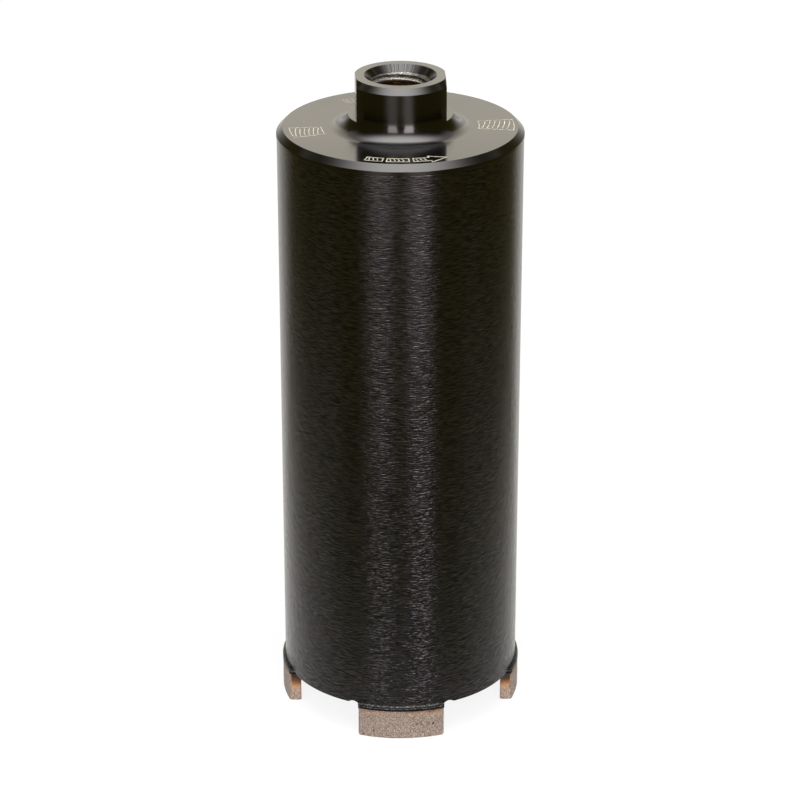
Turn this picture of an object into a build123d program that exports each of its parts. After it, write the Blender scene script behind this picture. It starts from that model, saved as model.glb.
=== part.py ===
from build123d import *
import os

# Diamond core bit for dry drilling: a thin steel barrel with four diamond segments welded
# to its lower end, and a turned cap with a threaded bore that closes its upper end.
# It stands on its segments. Z is its axis, the origin is the centre of the segment tips,
# and one segment faces -Y. Lengths are in millimetres and angles in degrees.

# Cut and segments: the segments stand out from both faces of the barrel, so that it runs free
cutting_diameter = 68.0
outer_relief = 0.75
inner_relief = 0.45
segment_width = 24.0
segment_height = 8.7
segment_count = 4
segment_edge_radius = 0.5
segment_tip_chamfer = 0.4

# Barrel
barrel_wall = 2.0
barrel_length = 157.2

# Weld seams between the segments and the barrel
weld_gap = 1.05
weld_outer_lap = 1.5
weld_inner_lap = 0.7
weld_proud = 0.12
weld_overrun = 0.12
weld_notch_width = 2.6
weld_notch_depth = 0.6

# Cap that closes the barrel
rim_proud = 0.13
rim_land = 1.12
rim_chamfer = 1.68
spigot_depth = 5.2
spigot_clearance = 0.05
spigot_chamfer = 0.8

# Threaded bore, and the hub that is turned round it
thread_diameter = 16.0
outlet_chamfer = 0.8
mouth_chamfer = 1.75
hub_ring_width = 2.6
hub_chamfer_width = 1.55
hub_chamfer_height = 1.55
hub_chamfer_crown = 0.1
hub_height = 14.15
hub_fillet = 5.0
wrench_width = 24.0
wrench_ledge_height = 3.5
wrench_turn = 2.2

# Radii and heights that follow from the sizes above
segment_outer = cutting_diameter / 2
barrel_outer = segment_outer - outer_relief
barrel_inner = barrel_outer - barrel_wall
segment_inner = barrel_inner - inner_relief
spigot_radius = barrel_inner - spigot_clearance
rim_radius = barrel_outer + rim_proud
bore_radius = thread_diameter / 2
mouth_radius = bore_radius + mouth_chamfer
hub_radius = mouth_radius + hub_ring_width + hub_chamfer_width
barrel_bottom = segment_height + weld_gap
barrel_top = barrel_bottom + barrel_length
cap_face = barrel_top + rim_land + rim_chamfer
cap_bottom = barrel_top - spigot_depth
hub_top = cap_face + hub_height
hub_edge_low = (hub_radius, hub_top - hub_chamfer_height)
hub_edge_high = (hub_radius - hub_chamfer_width, hub_top)
segment_places = PolarLocations(0, segment_count, start_angle=-90)


# Barrel: a plain tube, with a small notch burnt into its lower edge at each end of a weld
notch_radius = (weld_notch_width**2 / 4 + weld_notch_depth**2) / (2 * weld_notch_depth)
notch_offset = segment_width / 2 + weld_overrun + weld_notch_width / 2

with BuildPart() as barrel:
    with BuildSketch(Plane.XY.offset(barrel_bottom)):
        Circle(barrel_outer)
        Circle(barrel_inner, mode=Mode.SUBTRACT)
    extrude(amount=barrel_length)
    with BuildSketch(Plane.YZ) as notch_profile:
        with Locations(
            (-notch_offset, barrel_bottom - notch_radius + weld_notch_depth),
            (notch_offset, barrel_bottom - notch_radius + weld_notch_depth),
        ):
            Circle(notch_radius)
    notch_cutter = extrude(notch_profile.sketch, amount=cutting_diameter, mode=Mode.PRIVATE)
    with segment_places:
        add(notch_cutter, mode=Mode.SUBTRACT)

barrel.part.label = "barrel_tube"


# Cap: turned in one piece from the spigot to the mouth of the hub, then milled. The hub's outer
# chamfer is very slightly crowned, like a turned edge that was eased by hand.
with BuildPart() as cap:
    with BuildSketch(Plane.XZ):
        with BuildLine():
            Polyline(
                hub_edge_high,
                (mouth_radius, hub_top),
                (bore_radius, hub_top - mouth_chamfer),
                (bore_radius, cap_bottom + outlet_chamfer),
                (bore_radius + outlet_chamfer, cap_bottom),
                (spigot_radius - spigot_chamfer, cap_bottom),
                (spigot_radius, cap_bottom + spigot_chamfer),
                (spigot_radius, barrel_top),
                (rim_radius, barrel_top),
                (rim_radius, barrel_top + rim_land),
                (rim_radius - rim_chamfer, cap_face),
                (hub_radius, cap_face),
                hub_edge_low,
            )
            SagittaArc(hub_edge_high, hub_edge_low, hub_chamfer_crown)
        make_face()
    revolve(axis=Axis.Z)

    # Soft curve where the neck of the hub meets the top face
    neck = cap.edges().filter_by(GeomType.CIRCLE).filter_by_position(
        Axis.Z, cap_face, cap_face
    ).sort_by(SortBy.RADIUS)[0]
    fillet(neck, radius=hub_fillet)

    # Two wrench flats, milled down to a ledge that still cuts the top of the curve
    ledge = Plane.XY.offset(cap_face + wrench_ledge_height).rotated((0, 0, wrench_turn))
    with BuildSketch(ledge):
        Rectangle(cutting_diameter, cutting_diameter)
        Rectangle(wrench_width, cutting_diameter, mode=Mode.SUBTRACT)
    extrude(amount=hub_height, mode=Mode.SUBTRACT)

cap.part.label = "threaded_cap"


# Diamond segment: a curved block with parallel ends, rounded upright edges and worn tips
with BuildPart() as segment:
    with BuildSketch(Plane.XY):
        Circle(segment_outer)
        Circle(segment_inner, mode=Mode.SUBTRACT)
        with Locations((segment_outer, 0)):
            Rectangle(2 * segment_outer, segment_width, mode=Mode.INTERSECT)
    extrude(amount=segment_height)
    fillet(segment.edges().filter_by(Axis.Z), radius=segment_edge_radius)
    chamfer(segment.edges().group_by(Axis.Z)[0], length=segment_tip_chamfer)


# Weld seam: it fills the gap over a segment and laps onto both faces of the barrel
weld_outer = segment_outer + weld_proud
lap_middle = (barrel_outer + weld_outer) / 2

with BuildPart() as weld:
    with BuildSketch(Plane.XZ):
        with BuildLine():
            Polyline(
                (barrel_outer, barrel_bottom + weld_outer_lap),
                (barrel_outer, barrel_bottom),
                (barrel_inner, barrel_bottom),
                (barrel_inner, barrel_bottom + weld_inner_lap),
                (segment_inner, barrel_bottom),
                (segment_inner, segment_height),
                (segment_outer, segment_height),
                (weld_outer, segment_height + weld_gap / 2),
                (weld_outer, barrel_bottom),
            )
            ThreePointArc(
                (weld_outer, barrel_bottom),
                (lap_middle + weld_proud, barrel_bottom + weld_outer_lap / 2),
                (barrel_outer, barrel_bottom + weld_outer_lap),
            )
        make_face()
    revolve(axis=Axis.Z)
    with BuildSketch(Plane.XY):
        with Locations((segment_outer, 0)):
            Rectangle(2 * segment_outer, segment_width + 2 * weld_overrun)
    extrude(amount=barrel_top, mode=Mode.INTERSECT)


# Finished pieces: the barrel and the cap, then a segment and its weld at each place
pieces = [barrel.part, cap.part]
for number, place in enumerate(segment_places.locations, start=1):
    placed_segment = place * segment.part
    placed_segment.label = f"diamond_segment_{number}"
    placed_weld = place * weld.part
    placed_weld.label = f"weld_seam_{number}"
    pieces += [placed_segment, placed_weld]

os.makedirs("parts", exist_ok=True)
for piece in pieces:
    export_step(piece, f"parts/{piece.label}.step")
    print(piece.label, "volume", round(piece.volume, 1))
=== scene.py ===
import bpy
import numpy as np
from math import atan2, cos, pi, radians, sin, tan
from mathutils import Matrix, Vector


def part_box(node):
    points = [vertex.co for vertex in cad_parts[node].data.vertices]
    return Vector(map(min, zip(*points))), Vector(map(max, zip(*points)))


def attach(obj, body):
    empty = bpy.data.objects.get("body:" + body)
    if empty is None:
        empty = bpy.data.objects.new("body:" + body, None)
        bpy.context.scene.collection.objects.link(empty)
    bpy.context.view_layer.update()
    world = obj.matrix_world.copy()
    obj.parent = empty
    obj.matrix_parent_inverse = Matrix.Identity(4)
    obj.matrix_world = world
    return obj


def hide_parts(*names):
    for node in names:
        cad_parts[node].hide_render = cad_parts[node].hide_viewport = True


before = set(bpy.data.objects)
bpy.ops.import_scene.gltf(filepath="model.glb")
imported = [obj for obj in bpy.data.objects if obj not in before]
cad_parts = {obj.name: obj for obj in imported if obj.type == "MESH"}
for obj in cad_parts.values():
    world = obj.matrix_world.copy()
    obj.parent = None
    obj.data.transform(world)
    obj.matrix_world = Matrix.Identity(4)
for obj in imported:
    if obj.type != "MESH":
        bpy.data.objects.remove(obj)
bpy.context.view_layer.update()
mm = 0.001
tiny = 1e-6  # the least number that is still divided by

# Diamond core bit: blackened steel barrel and cap, welded diamond segments, laser marks on the cap.
# Everything here is in metres, in the frame of the CAD nodes, with one segment facing -Y.


# Small helpers for objects and meshes

def addObject(name, data):
    made = bpy.data.objects.new(name, data)
    bpy.context.scene.collection.objects.link(made)
    return made


def addMesh(name, vertices, faces):
    mesh = bpy.data.meshes.new(name)
    mesh.from_pydata(vertices, [], faces)
    mesh.update()
    return addObject(name, mesh)


def pointsOf(piece):
    co = np.zeros(len(piece.data.vertices) * 3, np.float32)
    piece.data.vertices.foreach_get("co", co)
    return co.reshape(-1, 3)


def movePoints(piece, co):
    piece.data.vertices.foreach_set("co", co.ravel())
    piece.data.update()


# Rings of points become a skin: row i is a closed ring, and each ring is joined to the next one.
# With ringsJoin the last ring meets the first, otherwise both ends are closed by a fan to their middle.
def gridMesh(name, points, ringsJoin=False, sharpAngle=35):
    rows, columns = points.shape[:2]
    index = np.arange(rows * columns).reshape(rows, columns)
    nextRow = np.roll(index, -1, axis=0) if ringsJoin else index[1:]
    thisRow = index if ringsJoin else index[:-1]
    quads = np.stack([thisRow, np.roll(thisRow, -1, axis=1), np.roll(nextRow, -1, axis=1), nextRow], -1)
    faces = quads.reshape(-1, 4).tolist()
    vertices = points.reshape(-1, 3)
    if not ringsJoin:
        first, last = rows * columns, rows * columns + 1
        vertices = np.vstack([vertices, points[0].mean(0), points[-1].mean(0)])
        fan = np.stack([np.roll(index[0], -1), index[0], np.full(columns, first)], -1)
        faces += fan.tolist()
        fan = np.stack([index[-1], np.roll(index[-1], -1), np.full(columns, last)], -1)
        faces += fan.tolist()
    piece = addMesh(name, vertices.tolist(), faces)
    piece.data.polygons.foreach_set("use_smooth", np.ones(len(faces), bool))
    piece.data.set_sharp_from_angle(angle=radians(sharpAngle))
    piece.data.update()
    return piece


# A closed outline of (r, z, radius) corners, each replaced by an arc of its radius. The arc of a corner
# runs between the two points at radius * tan(half the turn) along its sides, and its centre is where the
# offsets of both sides meet. A point a little before and after each arc keeps the flat parts flat. The
# sides between the arcs are split evenly by the spacing, or into the number that a corner has as its
# fourth value.
def roundedLoop(outline, steps=4, support=0.08 * mm, spacing=1.0):
    outline = np.array(outline, float)
    corners, radii = outline[:, :2], outline[:, 2]
    count = len(corners)
    line = []
    for i, (corner, radius) in enumerate(zip(corners, radii)):
        before = corners[i - 1] - corner
        after = corners[(i + 1) % count] - corner
        before, after = before / np.hypot(*before), after / np.hypot(*after)
        turn = pi - np.arccos(np.clip(before @ after, -1, 1))
        reach = radius * tan(turn / 2)
        inward = before + after
        centre = corner + inward / np.hypot(*inward) * radius / cos(turn / 2)
        start, end = corner + before * reach, corner + after * reach
        line.append(start + before * support)
        for share in np.linspace(0, 1, steps + 1):
            spread = sin(turn) if turn > tiny else 1
            blend = sin((1 - share) * turn) / spread, sin(share * turn) / spread
            line.append(centre + (start - centre) * blend[0] + (end - centre) * blend[1])
        line.append(end + after * support)
    line = np.array(line)
    gaps = np.hypot(*(np.roll(line, -1, axis=0) - line).T)
    pieces = []
    perCorner = len(line) // count
    for i, gap in enumerate(gaps):
        side, place = divmod(i, perCorner)
        split = max(1, int(np.ceil(gap / spacing)))
        if outline.shape[1] > 3:
            split = int(outline[side, 3]) if place == perCorner - 1 else 1
        share = np.arange(split)[:, None] / split
        pieces.append(line[i] * (1 - share) + np.roll(line, -1, axis=0)[i] * share)
    return np.vstack(pieces)


# A turned piece: each (r, z) point of the closed outline runs round the Z axis as a ring,
# x = r cos(angle), y = r sin(angle).
def turned(name, outline, columns, sharpAngle=35):
    angle = np.arange(columns) / columns * 2 * pi
    r, z = outline[:, :1], outline[:, 1:]
    points = np.stack([r * np.cos(angle), r * np.sin(angle), z + 0 * angle], -1)
    return gridMesh(name, points, ringsJoin=True, sharpAngle=sharpAngle)


# Smooth random lumps from -1 to 1: random numbers at the corners of a cubic lattice of the given
# size, blended between the corners by the smooth step 3t^2 - 2t^3 along each axis. A corner takes its
# number from a table, at a place that three large primes mix from its column, row and layer.
def lumps(points, size, seed):
    table = np.random.default_rng(seed).uniform(-1, 1, 8192)
    scaled = np.asarray(points, float) / size + 1000  # so that no cell is negative
    cell = np.floor(scaled).astype(np.int64)
    t = scaled - cell
    t = t * t * (3 - 2 * t)
    total = 0
    for corner in np.ndindex(2, 2, 2):
        at = cell + corner
        key = (at[..., 0] * 73856093) ^ (at[..., 1] * 19349663) ^ (at[..., 2] * 83492791)
        share = np.prod(np.where(corner, t, 1 - t), axis=-1)
        total = total + table[key % len(table)] * share
    return total


# Small helpers for materials

# sRGB hex to linear: c/12.92 below 0.04045, otherwise ((c + 0.055) / 1.055) ** 2.4.
def linear(hexColour):
    c = np.array([int(hexColour[i:i + 2], 16) for i in (1, 3, 5)]) / 255
    c = np.where(c <= 0.04045, c / 12.92, ((c + 0.055) / 1.055) ** 2.4)
    return (*c.tolist(), 1.0)


# Adds one node. An input that is a socket is linked, and any other value is set.
def addNode(tree, kind, inputs=None, **settings):
    made = tree.nodes.new(kind)
    for key, value in settings.items():
        setattr(made, key, value)
    for key, value in (inputs or {}).items():
        if isinstance(value, bpy.types.NodeSocket):
            tree.links.new(value, made.inputs[key])
        else:
            made.inputs[key].default_value = value
    return made


# A ramp through hex colours, each at its place from 0 to 1.
def ramp(tree, value, stops):
    made = addNode(tree, "ShaderNodeValToRGB", {0: value})
    elements = made.color_ramp.elements
    (elements[0].position, first), (elements[1].position, last) = stops[0], stops[-1]
    elements[0].color, elements[1].color = linear(first), linear(last)
    for position, colour in stops[1:-1]:
        elements.new(position).color = linear(colour)
    return made.outputs[0]


def mixColour(tree, share, low, high, blend="MIX"):
    return addNode(tree, "ShaderNodeMix", {0: share, 6: low, 7: high},
                   data_type="RGBA", blend_type=blend).outputs[2]


def calculate(tree, operation, *values):
    return addNode(tree, "ShaderNodeMath", dict(enumerate(values)), operation=operation).outputs[0]


# Carries a value from one range to another, and holds it at both ends.
def mapRange(tree, value, source, target=(0.0, 1.0)):
    return addNode(tree, "ShaderNodeMapRange", {
        "Value": value, "From Min": source[0], "From Max": source[1],
        "To Min": target[0], "To Max": target[1]}).outputs[0]


# Noise with lumps of about the given size, on a place or along one number.
def noise(tree, place, size, detail=2.0, roughness=0.5):
    return addNode(tree, "ShaderNodeTexNoise", {
        "Vector": place, "Scale": 1 / size, "Detail": detail, "Roughness": roughness}).outputs[0]


def noiseAlong(tree, number, size, detail=2.0, roughness=0.5):
    return addNode(tree, "ShaderNodeTexNoise", {
        "W": number, "Scale": 1 / size, "Detail": detail, "Roughness": roughness},
        noise_dimensions="1D").outputs[0]


def bump(tree, height, depth, strength=1.0):
    return addNode(tree, "ShaderNodeBump", {
        "Height": height, "Strength": strength, "Distance": depth}).outputs[0]


# The point that is shaded, on Object coordinates.
def shadedPlace(tree):
    return addNode(tree, "ShaderNodeTexCoord").outputs["Object"]


def partsOf(tree, place):
    return addNode(tree, "ShaderNodeSeparateXYZ", {0: place}).outputs


def distanceFromAxis(tree, place):
    flat = addNode(tree, "ShaderNodeVectorMath", {0: place, 1: (1, 1, 0)}, operation="MULTIPLY")
    return addNode(tree, "ShaderNodeVectorMath", {0: flat.outputs[0]}, operation="LENGTH").outputs["Value"]


def newMaterial(name):
    material = bpy.data.materials.new(name)
    material.use_nodes = True
    tree = material.node_tree
    tree.nodes.clear()
    return material, tree


def finishMaterial(tree, shader):
    addNode(tree, "ShaderNodeOutputMaterial", {"Surface": shader.outputs[0]})


def dress(piece, material):
    piece.data.materials.append(material)
    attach(piece, "root")


# Camera: the photograph looks down at the bit from in front, a little to the left of one segment

view = {
    "elevation": 23.847,      # degrees above the horizon
    "turn": -0.4,             # degrees round Z, away from the middle of the front segment
    "distance": 808.79 * mm,
    "aimHeight": 89.157 * mm,
    "lens": 130.24,
    "sensor": 36,             # width, in the same millimetres as the lens
    "shift": -0.0005,
}


def makeCamera():
    e, a = radians(view["elevation"]), radians(view["turn"])
    away = np.array([sin(a) * cos(e), -cos(a) * cos(e), sin(e)])
    data = bpy.data.cameras.new("photoCamera")
    data.lens, data.sensor_width = view["lens"], view["sensor"]
    data.shift_x = view["shift"]
    camera = addObject("photoCamera", data)
    camera.location = away * view["distance"] + [0, 0, view["aimHeight"]]
    camera.rotation_euler = (pi / 2 - e, 0, a)
    bpy.context.scene.camera = camera


makeCamera()
print("camera placed")


# Studio: white floor and surroundings, a dark booth in front, two tall strip lights and soft panels

studio = {
    "floorSize": 6.0,
    "floorGlow": 0.88,         # share of the white that no shadow can take away
    "ambient": 0.55,           # strength of the white surroundings as a light
    # booth
    "boothStart": 38 * mm,     # its floor begins just outside the object
    "boothLift": 0.3 * mm,
    "boothRadius": 1.6,
    "boothHigh": 1.5,
    "boothRings": (48, 12),    # rings of points on its floor and up its wall
    "dark": (0.165, 0.148, 0.035),
    "tableDark": (0.177, 0.160, 0.051),
    "tableEnd": (0.34, 0.42),  # metres out, between which the table's dark goes over into the booth's
    "white": (1.0, 0.98, 0.93),
    # white near the object: first angle, share and its gain per degree, reach and its gain per degree
    "nearGlow": (40, 1.4, 0.010, 0.047, 0.0009),
    "rightSide": (0.93, 0.92),  # on the right that white starts later, and is weaker
    # degrees round, from the dark to the white behind: on the floor left and right, and on the wall
    "floorWhite": ((112, 146), (121, 144)),
    "wallWhite": (132, 166),
    # the floor's white behind: share at the middle and its loss per metre, least and most of it
    "floorFade": (1.15, 0.9, 0.75, 1.1),
    "farOut": (0.33, 0.42),    # metres out, between which the glows on the floor widen
    "glowWidening": 0.25,
    "shadow": (34, 0.13),      # degrees to both sides, and reach in metres, of the dark before the object
    # sky
    "skyRadius": 2.0,
    "skyPoints": (145, 60),    # round, and up
    "skyUp": (38, 89.9),       # degrees up, from where it takes over from the wall to its pole
    "skyWhite": (97, 140),
    "skyDark": 0.6,            # share of the booth's dark that the sky in front has
    "softbox": (89.5, 32.2, 4.2, 7.6),  # degrees up, reach in degrees, power of its fall, radiance
    "softboxNarrower": 1.13,   # a degree sideways counts for more than a degree to the front
    "softboxColour": (1.0, 1.045, 1.03),
}
# each glow on the floor: degrees round, half its width in degrees, metres out from none to all of it,
# radiance, and the share that it gains or loses further out
floorGlows = [
    (-18.2, 11.2, (0.12, 0.44), (0.46, 0.44, 0.44), 0.45),
    (15.0, 9.6, (0.12, 0.44), (0.58, 0.55, 0.55), 0.45),
    (-72, 15, (0.05, 0.15), (0.104, 0.100, 0.098), -1.0),
    (70, 13, (0.05, 0.15), (0.098, 0.094, 0.092), -1.0)]


# 1 for camera, glossy and transmission rays, which are meant to see the plain white.
def raysThatSee(tree):
    path = addNode(tree, "ShaderNodeLightPath").outputs
    seen = calculate(tree, "MAXIMUM", path["Is Camera Ray"], path["Is Glossy Ray"])
    return calculate(tree, "MAXIMUM", seen, path["Is Transmission Ray"])


def makeWorld():
    world = bpy.data.worlds.new("whiteRoom")
    bpy.context.scene.world = world
    world.use_nodes = True
    tree = world.node_tree
    tree.nodes.clear()
    strength = mapRange(tree, raysThatSee(tree), (0.0, 1.0), (studio["ambient"], 1.0))
    light = addNode(tree, "ShaderNodeBackground", {"Color": (1, 1, 1, 1), "Strength": strength})
    addNode(tree, "ShaderNodeOutputWorld", {"Surface": light.outputs[0]})


def makeFloor():
    half = studio["floorSize"] / 2
    corners = [(-half, -half, 0), (half, -half, 0), (half, half, 0), (-half, half, 0)]
    floor = addMesh("studioFloor", corners, [(0, 1, 2, 3)])
    material, tree = newMaterial("whiteCard")  # matt white card, plain white to the eye
    share = calculate(tree, "MULTIPLY", raysThatSee(tree), studio["floorGlow"])
    matt = addNode(tree, "ShaderNodeBsdfDiffuse", {"Color": linear("#ececec")})
    glow = addNode(tree, "ShaderNodeEmission", {"Color": (1, 1, 1, 1), "Strength": 1.0})
    finishMaterial(tree, addNode(tree, "ShaderNodeMixShader", {
        0: share, 1: matt.outputs[0], 2: glow.outputs[0]}))
    floor.data.materials.append(material)


def smoothStep(low, high, value):
    t = np.clip((value - low) / (high - low), 0, 1)
    return t * t * (3 - 2 * t)


# A sheet of points that glows with its own light at each point, in reflections only.
def reflectedMesh(name, points, light):
    index = np.arange(points[..., 0].size).reshape(points.shape[:2])
    quads = np.stack([index[:-1, :-1], index[:-1, 1:], index[1:, 1:], index[1:, :-1]], -1).reshape(-1, 4)
    sheet = addMesh(name, points.reshape(-1, 3).tolist(), quads.tolist())
    shade = sheet.data.attributes.new("shade", "FLOAT_COLOR", "POINT")
    shade.data.foreach_set("color", np.dstack([light, np.ones(light.shape[:2])]).ravel())
    material, tree = newMaterial("boothCloth")  # cloth and table, as bright as they show in the metal
    colour = addNode(tree, "ShaderNodeAttribute", attribute_name="shade").outputs["Color"]
    finishMaterial(tree, addNode(tree, "ShaderNodeEmission", {"Color": colour, "Strength": 1.0}))
    sheet.data.materials.append(material)
    for ray in ("camera", "diffuse", "shadow", "transmission", "volume_scatter"):
        setattr(sheet, f"visible_{ray}", False)


# Booth that only reflections see: a floor disc and an upright wall round it. A point of the floor is
# (d sin a, -d cos a, 0), and of the wall the same with d = R and its height. Its light goes from the dark
# in front, a little lighter on the table, to white behind. Near the object the table is lit: its white
# share is A exp(-d / L), where A and L grow evenly with the angle past the first one. Each lamp and card
# leaves a glow on the floor before it, exp(-|(a - middle) / half| ** 3), which is wider further out. The
# object's own shadow, exp(-(a / width) ** 2) exp(-d / reach), takes its share of the dark near it.
def makeBooth():
    g = studio
    onFloor, onWall = g["boothRings"]
    a = np.linspace(-180, 180, 181)
    d = np.concatenate([np.geomspace(g["boothStart"], g["boothRadius"], onFloor),
                        np.full(onWall, g["boothRadius"])])
    z = np.concatenate([np.full(onFloor, g["boothLift"]), np.linspace(0, g["boothHigh"], onWall + 1)[1:]])
    turn, away = np.meshgrid(a, d)
    angle = np.radians(turn)
    height = np.repeat(z[:, None], len(a), 1)
    points = np.stack([away * np.sin(angle), -away * np.cos(angle), height], -1)
    floor = (z < 2 * g["boothLift"])[:, None]
    side, onRight = np.abs(turn), turn > 0
    # white near the object, and behind
    start, share, shareGain, reach, reachGain = g["nearGlow"]
    later, weaker = g["rightSide"]
    past = np.clip(np.where(onRight, side * later, side) - start, 0, None)
    near = np.clip((share + shareGain * past) * np.exp(-away / (reach + reachGain * past)), 0, 1)
    near = near * np.where(onRight, weaker, 1)
    left, right = g["floorWhite"]
    middle, loss, least, most = g["floorFade"]
    behind = np.where(onRight, smoothStep(*right, side), smoothStep(*left, side))
    behind = behind * np.clip(middle - loss * away, least, most)
    behind = np.where(floor, behind, smoothStep(*g["wallWhite"], side))
    white = np.maximum(near, behind)[..., None]
    # dark of the booth and the table, less the shadow, and with the glows
    table = (floor * (1 - smoothStep(*g["tableEnd"], away)))[..., None]
    light = np.array(g["dark"]) * (1 - table) + np.array(g["tableDark"]) * table
    width, reach = g["shadow"]
    shadow = np.exp(-(turn / width) ** 2) * np.exp(-away / reach)
    light = light * (1 - shadow)[..., None]
    farOut = smoothStep(*g["farOut"], away)
    for middle, half, (none, whole), colour, gained in floorGlows:
        wide = half * (1 + g["glowWidening"] * farOut)
        glow = np.exp(-np.abs((turn - middle) / wide) ** 3) * (1 + gained * farOut)
        light = light + (glow * floor * smoothStep(none, whole, away))[..., None] * np.array(colour)
    light = light * (1 - white) + np.array(g["white"]) * white
    reflectedMesh("reflectedBooth", points, light)


# Sky over the booth, which only reflections see too: part of a sphere, where the point at the height
# angle e and the turn a is R (cos e sin a, -cos e cos a, sin e). The light of the softbox overhead falls
# off as exp(-(t / reach) ** power), where t is the angle from its middle, made of the angles to the
# front and to the side.
def makeSky():
    g = studio
    up, reach, power, radiance = g["softbox"]
    pointsRound, pointsUp = g["skyPoints"]
    turn, height = np.meshgrid(np.linspace(-180, 180, pointsRound), np.linspace(*g["skyUp"], pointsUp))
    a, e = np.radians(turn), np.radians(height)
    way = np.stack([np.cos(e) * np.sin(a), -np.cos(e) * np.cos(a), np.sin(e)], -1)
    toFront = np.degrees(np.arctan2(-way[..., 1], way[..., 2])) - (90 - up)
    toSide = np.degrees(np.arcsin(way[..., 0])) * g["softboxNarrower"]
    t = np.hypot(toFront, toSide)
    box = radiance * np.exp(-(t / reach) ** power)[..., None]
    behind = smoothStep(*g["skyWhite"], np.abs(turn))[..., None]
    light = np.array(g["dark"]) * g["skyDark"] * (1 - behind) + np.array(g["white"]) * behind
    light = light + box * np.array(g["softboxColour"])
    reflectedMesh("reflectedSky", way * g["skyRadius"], light)


# each lamp: degrees round from the camera's side, distance and height, width, height of its face,
# radiance and colour
lamps = {
    "stripLeft": {"round": -17.3, "far": 0.9, "up": 0.43, "wide": 0.30, "high": 0.70,
                  "radiance": 4.4, "colour": (1.0, 0.96, 0.99)},
    "stripRight": {"round": 18.2, "far": 0.9, "up": 0.43, "wide": 0.30, "high": 0.70,
                   "radiance": 6.6, "colour": (1.0, 0.96, 0.99)},
    "overhead": {"round": 0, "far": 0.38, "up": 1.345, "wide": 1.3, "high": 1.0,
                 "radiance": 5.6, "colour": (1.0, 1.0, 1.0)},
    "behind": {"round": 180, "far": 1.44, "up": 0.79, "wide": 2.0, "high": 0.9,
               "radiance": 0.76, "colour": (1.0, 0.91, 0.66)},
}


# Lamps face the middle of the object. Their energy is radiance * pi * area. The metal doesn't mirror the
# overhead lamp itself, because the soft edges of its box are in the sky.
def makeLamps():
    for name, lamp in lamps.items():
        data = bpy.data.lights.new(name, "AREA")
        data.shape = "RECTANGLE"
        data.size, data.size_y = lamp["wide"], lamp["high"]
        data.energy = lamp["radiance"] * pi * lamp["wide"] * lamp["high"]
        data.color = lamp["colour"]
        piece = addObject(name, data)
        a = radians(lamp["round"])
        e = atan2(lamp["up"] - view["aimHeight"], lamp["far"])
        piece.location = (sin(a) * lamp["far"], -cos(a) * lamp["far"], lamp["up"])
        piece.rotation_euler = (pi / 2 - e, 0, a)
        piece.visible_camera = False
        piece.visible_glossy = name != "overhead"


makeWorld()
makeFloor()
makeBooth()
makeSky()
makeLamps()
print("studio ready")


# Materials

finish = {
    "capBlack": "#3f3d3d",
    "streakLength": 1.8,     # mm along the circumference
    "streakHeight": 0.31,    # mm, so that single scratches show
    "streakDepth": 0.215,    # mm, from the lowest to the highest value of the noise
    "ringSpacing": 0.35,     # mm
    "ringDepth": 0.001,      # mm
    "chatterStrokes": 30,    # in a radian round the mouth
}


# Blackened steel, brushed round and lacquered: a dark metal that gives tall soft bands of light,
# broken up by short level scratches. The scratches are noise on Object coordinates, long across and
# short along Z, so they follow the barrel without a seam. They cut deeper towards the segments.
def blackenedBrushedSteel():
    material, tree = newMaterial("blackenedBrushedSteel")
    place = shadedPlace(tree)
    along, up = 1 / (finish["streakLength"] * mm), 1 / (finish["streakHeight"] * mm)
    streakPlace = addNode(tree, "ShaderNodeMapping", {"Vector": place, "Scale": (along, along, up)})
    streaks = noise(tree, streakPlace.outputs[0], 1, detail=1.0)
    deeper = mapRange(tree, partsOf(tree, place)["Z"], (barrel["top"], barrel["bottom"]), (0.32, 1.0))
    tonePlace = addNode(tree, "ShaderNodeMapping", {
        "Vector": place, "Scale": (along * 0.8, along * 0.8, up), "Location": (3, 5, 7)})
    toneNoise = noise(tree, tonePlace.outputs[0], 1, detail=1.0)
    tangent = addNode(tree, "ShaderNodeTangent", direction_type="RADIAL", axis="Z")
    finishMaterial(tree, addNode(tree, "ShaderNodeBsdfPrincipled", {
        "Base Color": ramp(tree, toneNoise, [(0.34, "#2e2c2f"), (0.66, "#4e4b4f")]),
        "Metallic": 1.0, "Roughness": 0.20,
        "Anisotropic": 0.5, "Anisotropic Rotation": 0.25, "Tangent": tangent.outputs[0],
        "Normal": bump(tree, streaks, finish["streakDepth"] * mm, deeper)}))
    return material


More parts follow.
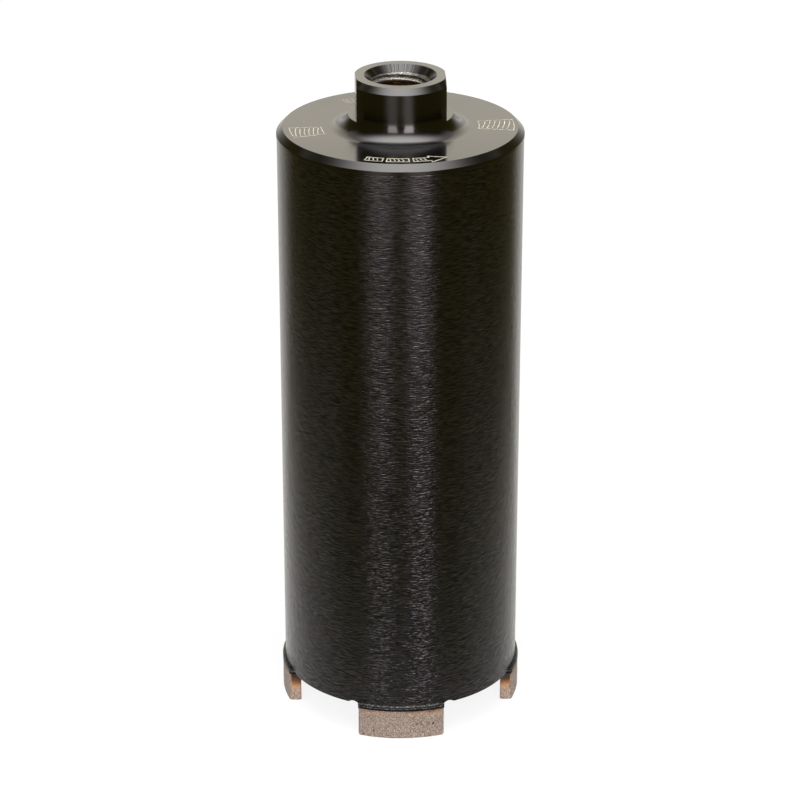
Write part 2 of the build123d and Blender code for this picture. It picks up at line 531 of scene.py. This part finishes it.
# The same blackened steel, turned fine on the lathe: satin, with rings too fine to count, drawn
# here 0.35 mm apart so that they show at all. They blur reflections across the rings. The tool
# chattered in the mouth, which left short dark strokes down its cone.
def turnedBlackSteel(c):
    material, tree = newMaterial("turnedBlackSteel")
    place = shadedPlace(tree)
    parts, radius = partsOf(tree, place), distanceFromAxis(tree, place)
    across = calculate(tree, "ADD", radius, parts["Z"])
    rings = noiseAlong(tree, across, finish["ringSpacing"] * mm, roughness=0.6)
    clouds = noise(tree, place, 9 * mm, detail=3.0)
    turn = calculate(tree, "ARCTAN2", parts["Y"], parts["X"])
    strokes = noiseAlong(tree, turn, 1 / finish["chatterStrokes"], roughness=0.8)
    chatter = ramp(tree, strokes, [(0.36, "#211e1d"), (0.62, "#464444")])
    mouth = c["bore"] + c["mouthChamfer"]
    inMouth = mapRange(tree, radius, (mouth, mouth - 0.1 * mm))
    tangent = addNode(tree, "ShaderNodeTangent", direction_type="RADIAL", axis="Z")
    finishMaterial(tree, addNode(tree, "ShaderNodeBsdfPrincipled", {
        "Base Color": mixColour(tree, inMouth, linear(finish["capBlack"]), chatter),
        "Metallic": 1.0, "Roughness": mapRange(tree, clouds, (0.0, 1.0), (0.14, 0.20)),
        "Anisotropic": 0.7, "Anisotropic Rotation": 0.25, "Tangent": tangent.outputs[0],
        "Normal": bump(tree, rings, finish["ringDepth"] * mm)}))
    return material


# Sintered bronze bond of a diamond segment, ground open on its curved faces: matt pinkish metal with
# fine contrasted grain and a few pores, filled with a dark colour that is painted shade in their hollows.
# The ends are paler. Welding has burnt the ends black, brown and then straw yellow for 5 mm, and the curved
# faces in patches just under the bead.
def sinteredBronze(segmentTop, outer):
    material, tree = newMaterial("sinteredBronze")
    place = shadedPlace(tree)
    grain = noise(tree, place, 0.37 * mm, detail=3.0, roughness=0.75)
    ground = ramp(tree, grain, [(0.35, "#54483f"), (0.52, "#85756a"), (0.67, "#b3a396")])
    pressed = ramp(tree, grain, [(0.36, "#6a574b"), (0.52, "#9b8577"), (0.68, "#c8b8aa")])
    onCurve = mapRange(tree, distanceFromAxis(tree, place), (outer - 0.5 * mm, outer - 0.2 * mm))
    body = mixColour(tree, onCurve, pressed, ground)
    # pores: a dark fill in the colour that paints the shade in their hollows
    pores = addNode(tree, "ShaderNodeTexVoronoi", {"Vector": place, "Scale": 1 / (1.5 * mm)}).outputs
    pick = addNode(tree, "ShaderNodeSeparateColor", {0: pores["Color"]}).outputs[0]
    poreShadeMask = calculate(tree, "LESS_THAN", pores["Distance"], mapRange(tree, pick, (0.45, 1.0), (0.0, 0.24)))
    withPaintedPoreShade = mixColour(tree, poreShadeMask, body, linear("#3c2f27"))
    # depth of the burnt zone: 0 under the bead, 1 at its end, with a wandering edge
    under = calculate(tree, "SUBTRACT", segmentTop, partsOf(tree, place)["Z"])
    wavy = calculate(tree, "MULTIPLY_ADD", noise(tree, place, 1.3 * mm), 1.6 * mm, under)
    depth = calculate(tree, "DIVIDE", wavy, mapRange(tree, onCurve, (0.0, 1.0), (6.4 * mm, 2.2 * mm)))
    burnt = ramp(tree, depth, [
        (0.30, "#1c1208"), (0.40, "#3f220a"), (0.52, "#6d3d10"), (0.66, "#9a611f"), (0.82, "#bb8a4c"),
        (1.0, "#a98c78")])
    patchy = mapRange(tree, noise(tree, place, 6 * mm), (0.42, 0.60), (0.12, 0.58))
    strongest = mapRange(tree, onCurve, (0.0, 1.0), (0.95, patchy))
    burntShare = mapRange(tree, depth, (0.5, 1.1), (strongest, 0.0))
    finishMaterial(tree, addNode(tree, "ShaderNodeBsdfPrincipled", {
        "Base Color": mixColour(tree, burntShare, withPaintedPoreShade, burnt),
        "Metallic": 0.35, "Roughness": 0.62, "Normal": bump(tree, grain, 0.07 * mm, 0.8)}))
    return material


# Laser weld bead, partly its own colour and partly painted light: two pale rows of grey scale, one on the
# barrel's edge and one under it, carry painted highlight where the edges catch the light, with a dark line
# between them, painted shade where the bead meets the barrel above, and a burnt black line along the
# segment.
def weldBead(segmentTop):
    material, tree = newMaterial("weldBead")
    place = shadedPlace(tree)
    flakes = addNode(tree, "ShaderNodeMapping", {
        "Vector": place, "Scale": (1 / (0.5 * mm), 1 / (0.5 * mm), 1 / (0.24 * mm))})
    grain = noise(tree, flakes.outputs[0], 1, roughness=0.65)
    # painted glints: pale and dark specks stretched along the bead, multiplied into its colour
    paintedGlintSpecks = ramp(tree, grain, [(0.40, "#242222"), (0.52, "#7e7c7c"), (0.64, "#ffffff")])
    wander = noise(tree, place, 2.2 * mm, detail=1.0)
    wavy = calculate(tree, "MULTIPLY_ADD", wander, 0.5 * mm, partsOf(tree, place)["Z"])
    height = mapRange(tree, wavy, (segmentTop + 0.25 * mm, segmentTop + 2.25 * mm))
    # rows up the bead: the pale rows are grey scale with painted highlight, the dark rows at the top are
    # painted shade where the bead meets the barrel
    rows = ramp(tree, height, [
        (0.0, "#0d0a08"), (0.18, "#12100e"), (0.29, "#4f4d4c"), (0.38, "#9d9da0"), (0.47, "#565554"),
        (0.55, "#2b2a2a"), (0.63, "#565554"), (0.71, "#7b7b7e"), (0.81, "#4a4948"), (0.92, "#171514"),
        (1.0, "#24211f")])
    finishMaterial(tree, addNode(tree, "ShaderNodeBsdfPrincipled", {
        "Base Color": mixColour(tree, 0.9, rows, paintedGlintSpecks, blend="MULTIPLY"),
        "Metallic": 0.8, "Roughness": 0.42, "Normal": bump(tree, grain, 0.06 * mm)}))
    return material


# Cut steel thread under a film of old oil: pale grey on its first crests, which is painted highlight, and
# dark brown further down. Pale and dark spots over all of it are painted glints.
def oiledThreadSteel(top):
    material, tree = newMaterial("oiledThreadSteel")
    place = shadedPlace(tree)
    under = mapRange(tree, partsOf(tree, place)["Z"], (top, top - 6 * mm))
    # pale grey for the first 1.8 mm is painted highlight of the first crests; the browns below are the oil
    oilAndPaintedCrestHighlight = ramp(tree, under, [
        (0.0, "#8a8580"), (0.30, "#9d978f"), (0.37, "#86796b"), (0.43, "#87562a"), (0.75, "#4a2c12")])
    spots = noise(tree, place, 0.42 * mm, detail=3.0, roughness=0.6)
    # painted glints: pale and dark spots multiplied into the colour
    paintedGlints = ramp(tree, spots, [(0.42, "#0c0a08"), (0.54, "#6d665f"), (0.65, "#ffffff")])
    finishMaterial(tree, addNode(tree, "ShaderNodeBsdfPrincipled", {
        "Base Color": mixColour(tree, 0.75, oilAndPaintedCrestHighlight, paintedGlints, blend="MULTIPLY"),
        "Metallic": 0.65, "Roughness": 0.30, "Normal": bump(tree, spots, 0.06 * mm)}))
    return material


# Laser-engraved steel: a pale frosted line that scatters light evenly.
def laserMark():
    material, tree = newMaterial("laserMark")
    frost = noise(tree, shadedPlace(tree), 0.5 * mm, detail=3.0)
    finishMaterial(tree, addNode(tree, "ShaderNodeBsdfPrincipled", {
        "Base Color": ramp(tree, frost, [(0.35, "#7c7564"), (0.65, "#bfb7a2")]),
        "Metallic": 0.2, "Roughness": 0.6}))
    return material


# Barrel: turned shell with broken edges, and small notches in its lower edge beside each weld

barrelLow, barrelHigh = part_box("barrel_tube")
barrel = {
    "outer": barrelHigh.x,
    "inner": barrelHigh.x - 2.0 * mm,
    "bottom": barrelLow.z,
    "top": barrelHigh.z,
    "edge": 0.15 * mm,
    "notchWidth": 2.6 * mm,
    "notchDepth": 0.6 * mm,
    "notchFade": 3 * mm,
    "columns": 512,
}


# The turned shell. At each notch its lower edge is lifted by depth * (1 - (s / half width)^2), where s
# is the distance along the edge from the middle of the notch. The lift fades to none further up.
def makeBarrel(material):
    b, edge = barrel, barrel["edge"]
    outline = roundedLoop([
        (b["outer"], b["bottom"], edge),
        (b["outer"], b["top"], edge),
        (b["inner"], b["top"], edge),
        (b["inner"], b["bottom"], edge),
    ], steps=5, spacing=6 * mm)
    piece = turned("barrel_shell", outline, b["columns"])
    co = pointsOf(piece)
    halfWidth = b["notchWidth"] / 2
    middle = segment["width"] / 2 + weld["overrun"] + halfWidth
    lift = np.zeros(len(co))
    for quarter in range(4):
        a = quarter * pi / 2
        side = co[:, 0] * cos(a) + co[:, 1] * sin(a)
        out = co[:, 0] * sin(a) - co[:, 1] * cos(a)
        away = (np.abs(side) - middle) / halfWidth
        lift = np.maximum(lift, np.where(out > 0, b["notchDepth"] * (1 - away ** 2), 0))
    co[:, 2] += lift * np.clip(1 - (co[:, 2] - b["bottom"]) / b["notchFade"], 0, 1)
    movePoints(piece, co)
    dress(piece, material)
    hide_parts("barrel_tube")


# Cap: rim, face, neck curve, hub with two wrench flats, mouth and bore in one skin

capLow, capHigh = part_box("threaded_cap")
cap = {
    "rim": capHigh.x,
    "bottom": capLow.z,
    "top": capHigh.z,
    "seat": barrel["top"],
    "face": barrel["top"] + 2.8 * mm,
    "rimChamfer": 1.68 * mm,
    "spigot": barrel["inner"] - 0.05 * mm,
    "spigotChamfer": 0.8 * mm,
    "hub": 13.9 * mm,
    "neckCurve": 5.0 * mm,
    "hubChamfer": (1.55 * mm, 1.55 * mm),
    "bore": 8.0 * mm,
    "mouthChamfer": 1.75 * mm,
    "outletChamfer": 0.8 * mm,
    "flatHalf": 12.0 * mm,
    "ledge": 3.5 * mm,
    "flatTurn": 2.2,           # degrees round Z
    "edge": 0.10 * mm,
    "mouthRing": 0.3 * mm,     # round the mouth, within which the flats cut nothing
    "columns": 336,
}


# The turned outline is carried round Z. Above the ledge the skin of the hub is cut back to the two
# flats: radius = min(turned radius, flat distance / |cos(angle from the flat's middle)|).
def makeCap(material):
    c = cap
    edge = c["edge"]
    outline = roundedLoop([
        (c["bore"], c["bottom"] + c["outletChamfer"], edge),
        (c["bore"] + c["outletChamfer"], c["bottom"], edge),
        (c["spigot"] - c["spigotChamfer"], c["bottom"], edge),
        (c["spigot"], c["bottom"] + c["spigotChamfer"], edge),
        (c["spigot"], c["seat"], edge * 0.5),
        (c["rim"], c["seat"], edge),
        (c["rim"], c["face"] - c["rimChamfer"], edge * 1.5),
        (c["rim"] - c["rimChamfer"], c["face"], edge * 1.5),
        (c["hub"], c["face"], c["neckCurve"]),
        (c["hub"], c["top"] - c["hubChamfer"][1], edge),
        (c["hub"] - c["hubChamfer"][0], c["top"], edge),
        (c["bore"] + c["mouthChamfer"], c["top"], edge),
        (c["bore"], c["top"] - c["mouthChamfer"], edge),
    ], steps=12, support=0.1 * mm, spacing=0.8 * mm)
    # the ledge of the flats: its height enters the outline twice, once before and once after the cut
    ledgeHeight = c["face"] + c["ledge"]
    onNeck = (outline[:, 0] > c["hub"] - edge) & (outline[:, 0] < c["hub"] + c["neckCurve"])
    below = np.flatnonzero(onNeck & (outline[:, 1] > c["face"]) & (outline[:, 1] < ledgeHeight)).max()
    gap = outline[below + 1] - outline[below]
    crossing = outline[below] + gap * (ledgeHeight - outline[below, 1]) / gap[1]
    outline = np.vstack([outline[:below + 1], crossing, crossing, outline[below + 1:]])
    cut = np.zeros(len(outline), bool)
    cut[below + 2:] = outline[below + 2:, 0] > c["bore"] + c["mouthChamfer"] + c["mouthRing"]
    # even columns, of which the nearest moves to each upright edge of the flats and keeps it straight
    angle = np.arange(c["columns"]) / c["columns"] * 2 * pi
    halfSpan = np.arccos(c["flatHalf"] / c["hub"])
    turn = radians(c["flatTurn"])
    for edgeAngle in (turn - halfSpan, turn + halfSpan, turn + pi - halfSpan, turn + pi + halfSpan):
        nearest = np.argmin(np.abs((angle - edgeAngle + pi) % (2 * pi) - pi))
        angle[nearest] = edgeAngle % (2 * pi)
    flatRadius = c["flatHalf"] / np.maximum(np.abs(np.cos(angle - turn)), tiny)
    r = np.repeat(outline[:, :1], len(angle), axis=1)
    r[cut] = np.minimum(r[cut], flatRadius)
    z = np.repeat(outline[:, 1:], len(angle), axis=1)
    points = np.stack([r * np.cos(angle), r * np.sin(angle), z], -1)
    piece = gridMesh("turned_cap", points, ringsJoin=True, sharpAngle=20)
    dress(piece, material)
    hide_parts("threaded_cap")


# Thread in the bore: 16 mm, with a pitch of 2 mm, right-handed

thread = {
    "pitch": 2.0 * mm,
    "major": 7.99 * mm,
    "minor": 6.92 * mm,
    "crest": 0.5 * mm,
    "flank": 0.625 * mm,
    "startTurn": 0.665,        # turns that the helix is carried round
    "under": 0.02 * mm,        # from the mouth's cone down to its upper end
    "columns": 144,
    "rise": 0.125 * mm,        # from row to row
}


# Inner skin of the thread: with s the height along Z less the pitch times the share of a turn, taken
# within one pitch, the radius is the minor one on the crest, grows evenly along each flank and is
# the major one in the groove. At both ends a 45 degree cone cuts it: radius >= bore - depth.
def makeThread(material):
    t = thread
    top = cap["top"] - cap["mouthChamfer"] - t["under"]
    bottom = cap["bottom"] + cap["outletChamfer"]
    z = np.arange(bottom, top, t["rise"])
    z = np.append(z, top)[:, None]
    angle = (np.arange(t["columns"]) / t["columns"] * 2 * pi)[None, :]
    s = (z - t["pitch"] * (angle / (2 * pi) - t["startTurn"])) % t["pitch"]
    fromCrest = np.abs(s - t["pitch"] / 2) - t["crest"] / 2
    share = np.clip(fromCrest / t["flank"], 0, 1)
    r = t["minor"] + (t["major"] - t["minor"]) * share
    r = np.maximum(r, np.minimum(t["major"], cap["bore"] - (top - z)))
    r = np.maximum(r, np.minimum(t["major"], cap["bore"] - (z - bottom)))
    inner = np.stack([r * np.cos(angle), r * np.sin(angle), z + 0 * angle], -1)
    r = cap["bore"] + 0 * r
    back = np.stack([r * np.cos(angle), r * np.sin(angle), inner[..., 2]], -1)
    rows = np.concatenate([inner[::-1], back[[0, -1]]])
    piece = gridMesh("bore_thread", rows, ringsJoin=True)
    dress(piece, material)


# Diamond segments: curved blocks with parallel ends, rounded by wear, and a rough skin

segmentLow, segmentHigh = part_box("diamond_segment_1")
segment = {
    "outer": 34.0 * mm,
    "inner": 30.8 * mm,
    "width": segmentHigh.x - segmentLow.x,
    "height": segmentHigh.z,
    "edge": 0.5 * mm,
    "topEdge": 0.05 * mm,
    "roughness": 0.035 * mm,
    "lumps": [(0.9 * mm, 1), (0.3 * mm, 0.6)],  # size, and share of the roughness
    "step": 0.2 * mm,
}
weld = {
    "gap": 1.05 * mm,
    "outerLap": 1.35 * mm,
    "innerLap": 0.6 * mm,
    "proud": 0.06 * mm,
    "overrun": 0.12 * mm,
    "edge": 0.3 * mm,
    "ripples": [(0.12 * mm, 0.8 * mm, 91), (0.08 * mm, 0.3 * mm, 92)],  # height, length and seed
    "roughness": 0.045 * mm,
    "lumps": [(0.5 * mm, 0.6), (0.22 * mm, 1)],
    "step": 0.14 * mm,
}


# A block that bends round Z with parallel ends: at the sideways place x, an outline point of radius
# rho and height z lies at y = -sqrt(rho^2 - x^2). Near each end the outline shrinks by
# edge * (1 - cos p) while x still grows by edge * sin p, which rounds the end's rim, and then it
# shrinks to its middle to close the end. Lumps push the skin in and out from the block's middle,
# where the way through its curved faces counts three times. The dictionary "made" is the piece's own.
def curvedBlock(name, outlineAt, halfWidth, made, seed, turn, edgeSteps=5, endRings=8):
    edge = made["edge"]
    straight = halfWidth - edge
    p = np.linspace(0, pi / 2, edgeSteps + 1)[1:]
    x = np.linspace(-straight, straight, int(2 * straight / made["step"]))
    roundOff = edge * (1 - np.cos(p))
    shrink = np.concatenate([roundOff[::-1], np.zeros(len(x)), roundOff])
    x = np.concatenate([-straight - edge * np.sin(p[::-1]), x, straight + edge * np.sin(p)])
    rings = [outlineAt(value, inset) for value, inset in zip(x, shrink)]
    middleFirst, middleLast = rings[0].mean(0), rings[-1].mean(0)
    shares = np.linspace(0.1, 0.9, endRings)
    firstCap = [middleFirst + (rings[0] - middleFirst) * share for share in shares]
    lastCap = [middleLast + (rings[-1] - middleLast) * share for share in shares[::-1]]
    rings = np.array(firstCap + rings + lastCap)
    x = np.concatenate([np.full(len(shares), x[0]), x, np.full(len(shares), x[-1])])
    rho, z = rings[..., 0], rings[..., 1]
    across = x[:, None] + 0 * rho
    points = np.stack([across, -np.sqrt(rho ** 2 - across ** 2), z], -1)
    push = sum(lumps(points, size, seed + k) * (made["roughness"] * share)
               for k, (size, share) in enumerate(made["lumps"]))
    outward = (points - points.reshape(-1, 3).mean(0)) * [1, 3, 1]
    outward /= np.linalg.norm(outward, axis=-1, keepdims=True)
    x, y, z = np.moveaxis(points + outward * push[..., None], -1, 0)
    c, s = cos(turn), sin(turn)
    points = np.stack([x * c - y * s, x * s + y * c, z], -1)
    return gridMesh(name, points, sharpAngle=60)


# Rounded rectangle in (radius, height), shrunk by the inset, and the same all along the segment.
def segmentOutline(x, inset):
    g = segment
    return roundedLoop([
        (g["outer"] - inset, inset, g["edge"], 38),
        (g["outer"] - inset, g["height"], g["topEdge"], 15),
        (g["inner"] + inset, g["height"], g["topEdge"], 38),
        (g["inner"] + inset, inset, g["edge"], 11),
    ], support=0.05 * mm)


def makeSegments(material):
    for number in range(4):
        piece = curvedBlock(
            f"segment_body_{number + 1}", segmentOutline, segment["width"] / 2 - segment["roughness"],
            segment, 10 * number, number * pi / 2)
        co = pointsOf(piece)
        co[:, 2] = np.maximum(co[:, 2], 0)  # the lumps stay above the ground
        movePoints(piece, co)
        dress(piece, material)
        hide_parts(f"diamond_segment_{number + 1}")


# The bead's outline: up its outside past the barrel's edge, back along the edge under the barrel, up
# inside by the inner lap, and down over the segment's top. Both laps ripple along the bead.
def weldOutline(x, inset):
    b, g, w = barrel, segment, weld
    ripple = sum(height * lumps(np.array([x, 0, 0]), length, seed) for height, length, seed in w["ripples"])
    proud = g["outer"] + w["proud"] - inset
    return roundedLoop([
        (proud, g["height"] + 0.25 * mm, 0.15 * mm, 6),
        (proud, b["bottom"] + 0.2 * mm, 0.5 * mm, 10),
        (b["outer"], b["bottom"] + w["outerLap"] + ripple, 0.02 * mm, 8),
        (b["outer"] - 0.02 * mm, b["bottom"], 0.02 * mm, 12),
        (b["inner"] + 0.02 * mm, b["bottom"], 0.02 * mm, 4),
        (b["inner"], b["bottom"] + w["innerLap"] + ripple * 0.5, 0.02 * mm, 6),
        (g["inner"] - 0.05 * mm + inset, b["bottom"], 0.2 * mm, 6),
        (g["inner"] + inset, g["height"], 0.05 * mm, 20),
        (g["outer"] - 0.15 * mm - inset, g["height"] - 0.1 * mm, 0.05 * mm, 4),
    ], support=0.03 * mm)


def makeWelds(material):
    for number in range(4):
        piece = curvedBlock(
            f"weld_bead_{number + 1}", weldOutline, segment["width"] / 2 + weld["overrun"],
            weld, 50 + 10 * number, number * pi / 2)
        dress(piece, material)
        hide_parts(f"weld_seam_{number + 1}")


# Laser marks on the face of the cap: a turning arrow at the front, and plain hatched fields

marks = {
    "line": 0.30 * mm,
    "hatch": 0.22 * mm,
    "thick": 0.03 * mm,
    "sunk": 0.01 * mm,         # into the cap's face
    "step": 0.5 * mm,          # from point to point on an arc
    # arrow: radius, half width of its dashes, half width and length of its head, and the ends of the
    # dashes in degrees round Z
    "arrow": {"radius": 28.7 * mm, "shaft": 1.25 * mm, "head": 2.35 * mm, "headLength": 4.6 * mm,
              "dashes": [(-18.6, -9.6), (-7.4, 4.0), (6.4, 24.4)]},
    # strokes in a dash: first and last place from its ends, distance, half their lean, and half their
    # length as a share of the shaft
    "dashStrokes": (0.9 * mm, 0.5 * mm, 1.1 * mm, 0.2 * mm, 0.6),
    # strokes in a field: half their length as a share of its half width, and half their lean
    "fieldStrokes": (0.8, 0.5 * mm),
    # fields: degrees round Z, radius of the middle, width round the axis, length out from it, number of
    # strokes, and whether a line frames them
    "fields": [
        (-78.0, 25.6 * mm, 7.0 * mm, 8.5 * mm, 6, True),
        (90.2, 25.8 * mm, 7.7 * mm, 9.35 * mm, 6, True),
        (-146.5, 25.2 * mm, 4.2 * mm, 5.0 * mm, 4, False),
    ],
}


# Flat ribbons: each line of (x, y) points is widened by half the width to both sides along its
# normal and given a thickness. A closed line joins its last point to its first. At a corner the reach
# is half the width / cos(half the turn), and the cosine is never taken below its least value.
def ribbons(name, lines, width, low, high, material, leastCosine=0.35):
    vertices, faces = [], []
    for line, closed in lines:
        line = np.asarray(line, float)
        after = np.roll(line, -1, axis=0) - line
        before = line - np.roll(line, 1, axis=0)
        if not closed:
            after[-1], before[0] = before[-1], after[0]
        after /= np.linalg.norm(after, axis=1, keepdims=True)
        before /= np.linalg.norm(before, axis=1, keepdims=True)
        mean = after + before
        mean /= np.linalg.norm(mean, axis=1, keepdims=True)
        normal = np.stack([-mean[:, 1], mean[:, 0]], -1)
        reach = width / 2 / np.maximum(np.abs(np.sum(mean * after, axis=1)), leastCosine)
        left, right = line + normal * reach[:, None], line - normal * reach[:, None]
        count, base = len(line), len(vertices)
        for ring, z in ((left, low), (left, high), (right, high), (right, low)):
            vertices += [(x, y, z) for x, y in ring]
        last = count if closed else count - 1
        for k in range(4):
            a, b = base + k * count, base + (k + 1) % 4 * count
            faces += [(a + i, a + (i + 1) % count, b + (i + 1) % count, b + i) for i in range(last)]
        if not closed:
            faces += [tuple(base + k * count for k in range(4)),
                      tuple(base + k * count + count - 1 for k in reversed(range(4)))]
    piece = addMesh(name, vertices, faces)
    dress(piece, material)


# Places flat (along, outward) points on an arc: angle = middle + along / radius, r = radius + outward.
def bent(points, radius, middle):
    points = np.asarray(points, float)
    a = radians(middle) + points[:, 0] / radius
    r = radius + points[:, 1]
    return np.stack([r * np.sin(a), -r * np.cos(a)], -1)


# The same line with points at most one step apart.
def finely(points, closed):
    points = np.asarray(points, float)
    ends = np.roll(points, -1, axis=0) if closed else points[1:]
    made = []
    for a, b in zip(points, ends):
        parts = max(1, int(np.ceil(np.hypot(*(b - a)) / marks["step"])))
        made += [a + (b - a) * k / parts for k in range(parts)]
    return np.array(made if closed else made + [points[-1]])


# The arrow is a row of outlined dashes with strokes in them, and the last one ends in a head.
def makeArrow(low, high, material):
    arrow = marks["arrow"]
    shaft, head, radius = arrow["shaft"], arrow["head"], arrow["radius"]
    first, last, distance, lean, share = marks["dashStrokes"]
    lines = []
    for number, (start, end) in enumerate(arrow["dashes"], 1):
        middle, half = (start + end) / 2, radians(end - start) * radius / 2
        outline = [(-half, -shaft), (half, -shaft), (half, shaft), (-half, shaft)]
        stop = half
        if number == len(arrow["dashes"]):
            stop = half - arrow["headLength"]
            outline[1:3] = [(stop, -shaft), (stop, -head), (half, 0), (stop, head), (stop, shaft)]
        lines.append((bent(finely(outline, True), radius, middle), True))
        for along in np.arange(-half + first, stop - last, distance):
            stroke = [(along - lean, -shaft * share), (along + lean, shaft * share)]
            lines.append((bent(stroke, radius, middle), False))
    ribbons("turning_arrow", lines, marks["line"], low, high, material)


# A field is a hatch of even slanted strokes, with or without an outline round it.
def makeFields(low, high, material):
    share, lean = marks["fieldStrokes"]
    for number, (middle, radius, wide, long, strokes, framed) in enumerate(marks["fields"], 1):
        x, y = wide / 2, long / 2
        outline = [(-x, -y), (x, -y), (x, y), (-x, y)]
        lines = [(bent(finely(outline, True), radius, middle), True)] if framed else []
        for height in np.linspace(-y, y, strokes + 2)[1:-1]:
            stroke = [(-x * share, height - lean), (x * share, height + lean)]
            lines.append((bent(finely(stroke, False), radius, middle), False))
        ribbons(f"hatched_mark_{number}", lines, marks["hatch"], low, high, material)


def makeMarks(material):
    low, high = cap["face"] - marks["sunk"], cap["face"] + marks["thick"]
    makeArrow(low, high, material)
    makeFields(low, high, material)


makeBarrel(blackenedBrushedSteel())
print("barrel made")
makeCap(turnedBlackSteel(cap))
makeThread(oiledThreadSteel(cap["top"] - cap["mouthChamfer"]))
print("cap and thread made")
makeSegments(sinteredBronze(segment["height"], segment["outer"]))
makeWelds(weldBead(segment["height"]))
print("segments and welds made")
makeMarks(laserMark())
print("marks made")

scene = bpy.context.scene
scene.view_settings.view_transform = "Standard"
